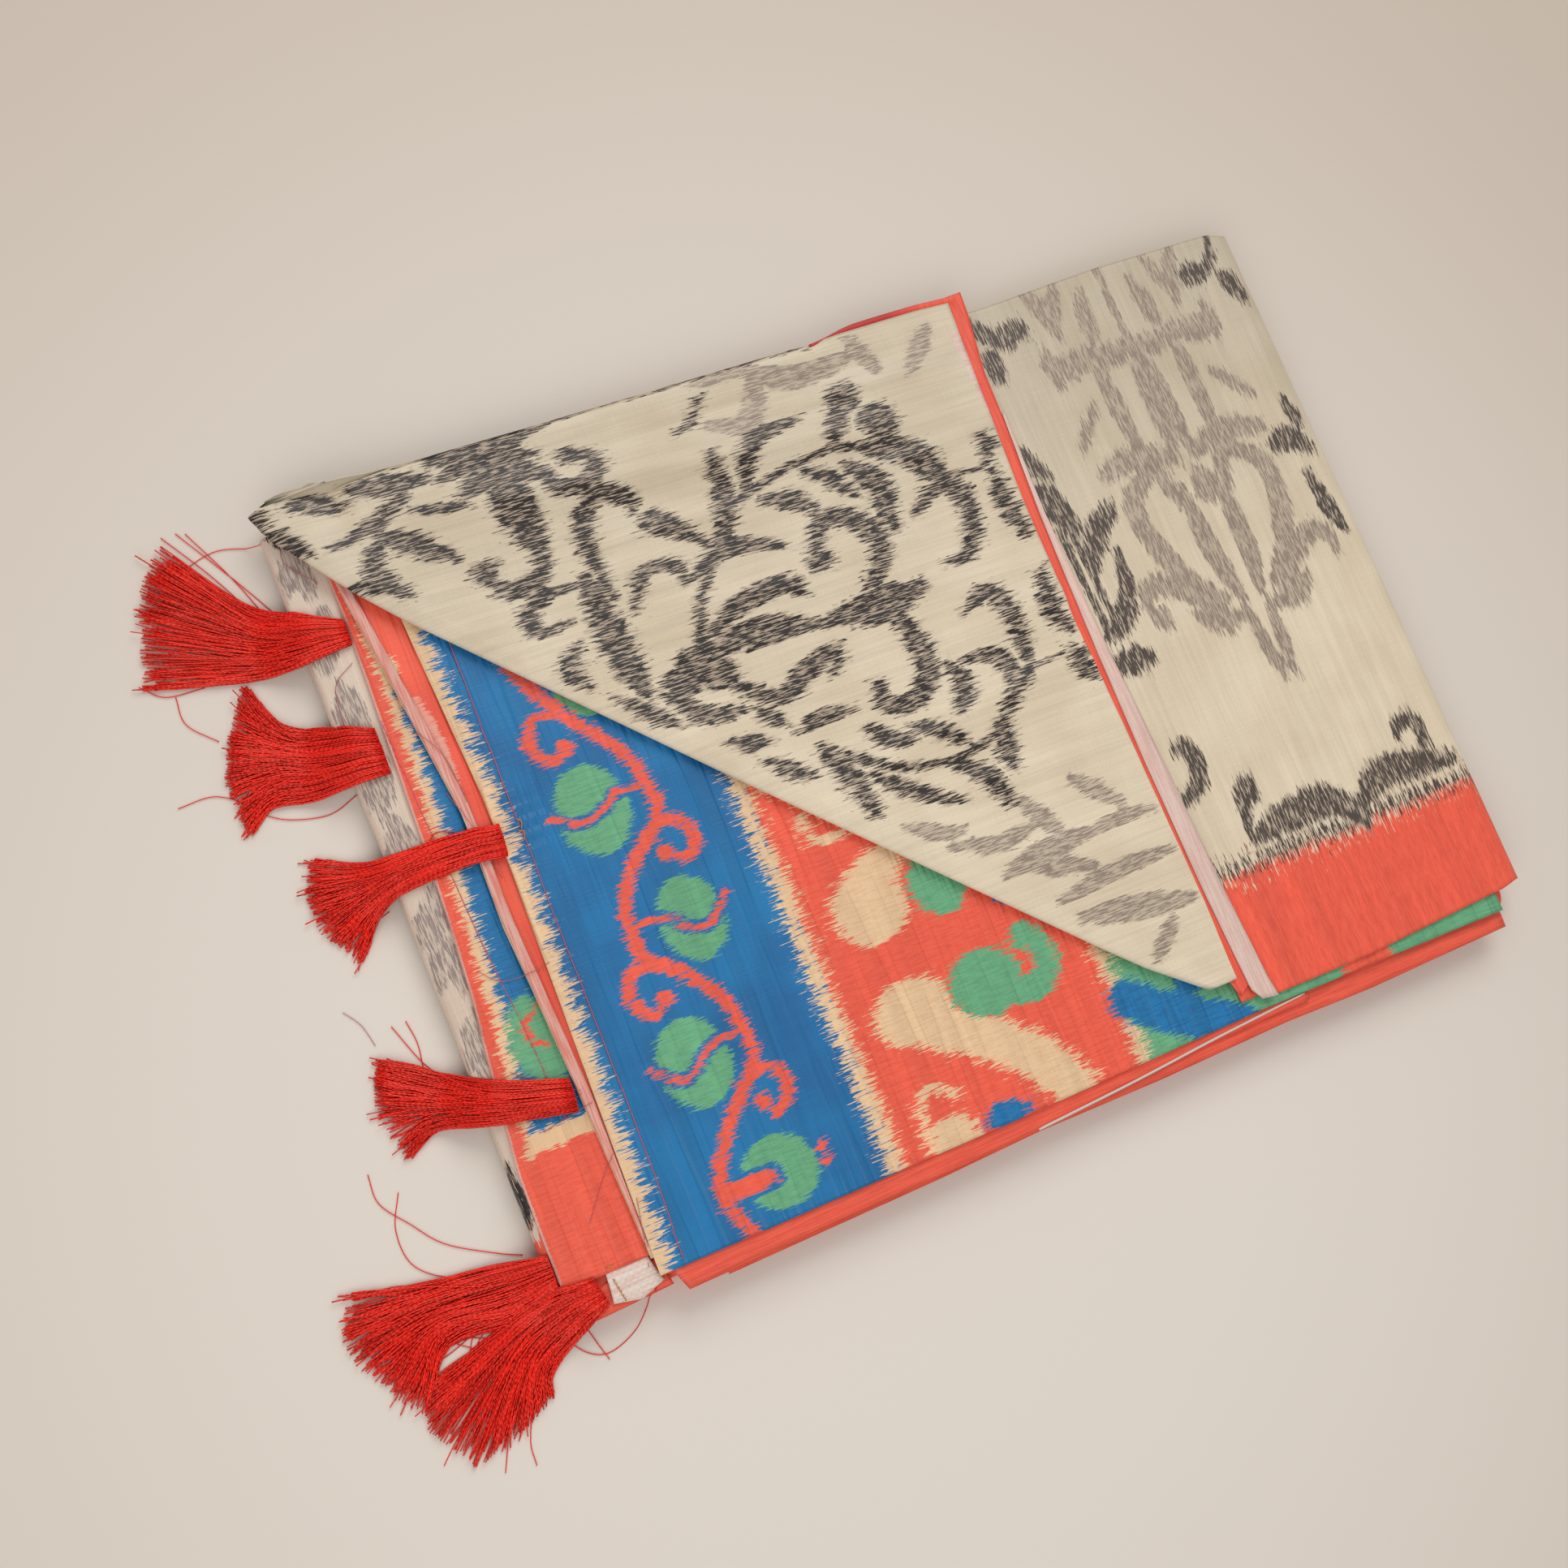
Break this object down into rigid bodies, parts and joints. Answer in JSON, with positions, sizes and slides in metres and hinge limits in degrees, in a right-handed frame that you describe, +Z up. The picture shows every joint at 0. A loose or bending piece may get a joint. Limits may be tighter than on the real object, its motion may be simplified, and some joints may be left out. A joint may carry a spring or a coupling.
{
  "type": "folded satin saree",
  "caption": "Satin saree folded flat into a low stack, with its printed pallu end, silk tassels along that end, and its top leaf turned back over a diagonal fold.",
  "frame": {"origin": "middle of the folded stack's flat underside, where it rests", "axes": "+X along the stack's long side, away from the tassels; +Y across the stack towards its far edge; +Z up"},
  "size_m": [0.4628, 0.3227, 0.0186],
  "materials": {
    "cream_cloth": "soft satin, cream with black and grey ikat print",
    "pallu_cloth": "soft satin, blue and coral with green and peach ikat motifs",
    "red_border": "soft satin, coral red",
    "pink_reverse": "matt reverse of the cloth, pale pink",
    "tassel_silk": "glossy red silk thread"
  },
  "bodies": {
    "root": {"folded_core": "cream_cloth", "lower_wrap": "cream_cloth", "pallu_third": "pallu_cloth", "pallu_second": "pallu_cloth", "pallu_top": "pallu_cloth", "second_facing": "pink_reverse", "top_leaf": "cream_cloth", "turned_flap": "cream_cloth", "flap_hem_red": "red_border", "flap_hem_pink": "pink_reverse", "border_upper": "red_border", "border_lower": "red_border", "corner_low_edge": "red_border", "corner_patch": "pink_reverse", "tassel_1": "tassel_silk", "tassel_2": "tassel_silk", "tassel_3": "tassel_silk", "tassel_4": "tassel_silk", "tassel_5": "tassel_silk", "tassel_6": "tassel_silk"}
  },
  "joints": []
}
